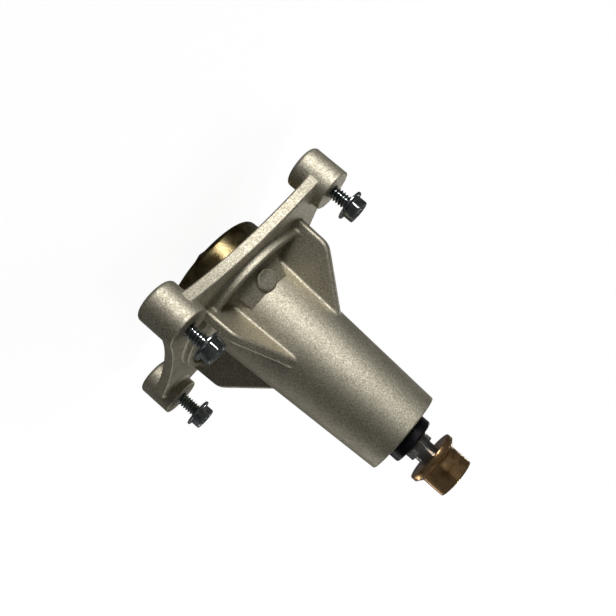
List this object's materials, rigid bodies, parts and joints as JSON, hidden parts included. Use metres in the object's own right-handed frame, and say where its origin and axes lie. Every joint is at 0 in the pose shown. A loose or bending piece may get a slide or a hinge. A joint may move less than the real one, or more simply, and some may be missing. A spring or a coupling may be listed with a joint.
{
  "type": "mower blade spindle",
  "caption": "Cast mower deck spindle with bolt bosses, gussets and a bearing tube, holding a splined shaft with a dust cup at the blade end and a flange nut at the pulley end.",
  "frame": {"origin": "on the spin axis, at the blade end of the shaft", "axes": "+Z along the spin axis, from the blade end to the pulley end; +X across the 108 mm side of the bolt pattern"},
  "size_m": [0.132, 0.138, 0.1857],
  "materials": {
    "cast_aluminium": "shot-blasted casting, bare",
    "shaft_steel": "turned steel",
    "bearing_steel": "ground bearing steel",
    "cage_steel": "pressed steel",
    "seal_rubber": "matt rubber",
    "black_steel": "black oxide",
    "yellow_zinc": "yellow zinc plating on steel",
    "clear_zinc": "clear zinc plating on steel"
  },
  "bodies": {
    "housing": {"housing": "cast_aluminium", "deck_bolt_1": "clear_zinc", "deck_bolt_2": "clear_zinc", "deck_bolt_3": "clear_zinc", "deck_bolt_4": "clear_zinc", "lower_bearing_outer_race": "bearing_steel", "upper_bearing_outer_race": "bearing_steel", "lower_bearing_lower_seal": "seal_rubber", "lower_bearing_upper_seal": "seal_rubber", "upper_bearing_lower_seal": "seal_rubber", "upper_bearing_upper_seal": "seal_rubber"},
    "spindle": {"spindle_shaft": "shaft_steel", "lower_bearing_inner_race": "bearing_steel", "upper_bearing_inner_race": "bearing_steel", "bearing_spacer": "shaft_steel", "top_collar": "black_steel", "blade_dust_cup": "yellow_zinc", "pulley_nut": "yellow_zinc"},
    "lower_cage": {"lower_bearing_balls": "bearing_steel", "lower_bearing_cage": "cage_steel"},
    "upper_cage": {"upper_bearing_balls": "bearing_steel", "upper_bearing_cage": "cage_steel"}
  },
  "joints": [
    {"name": "spindle_spin", "type": "hinge", "parent": "housing", "child": "spindle", "pos_m": [0, 0, 0.0225], "axis": [0, 0, 1], "continuous": true},
    {"name": "lower_cage_roll", "type": "hinge", "parent": "housing", "child": "lower_cage", "pos_m": [0, 0, 0.0225], "axis": [0, 0, 1], "continuous": true},
    {"name": "upper_cage_roll", "type": "hinge", "parent": "housing", "child": "upper_cage", "pos_m": [0, 0, 0.141], "axis": [0, 0, 1], "continuous": true}
  ],
  "couplings": [
    {"joint": "lower_cage_roll", "follows": "spindle_spin", "ratio": 0.38175},
    {"joint": "upper_cage_roll", "follows": "spindle_spin", "ratio": 0.38175}
  ]
}
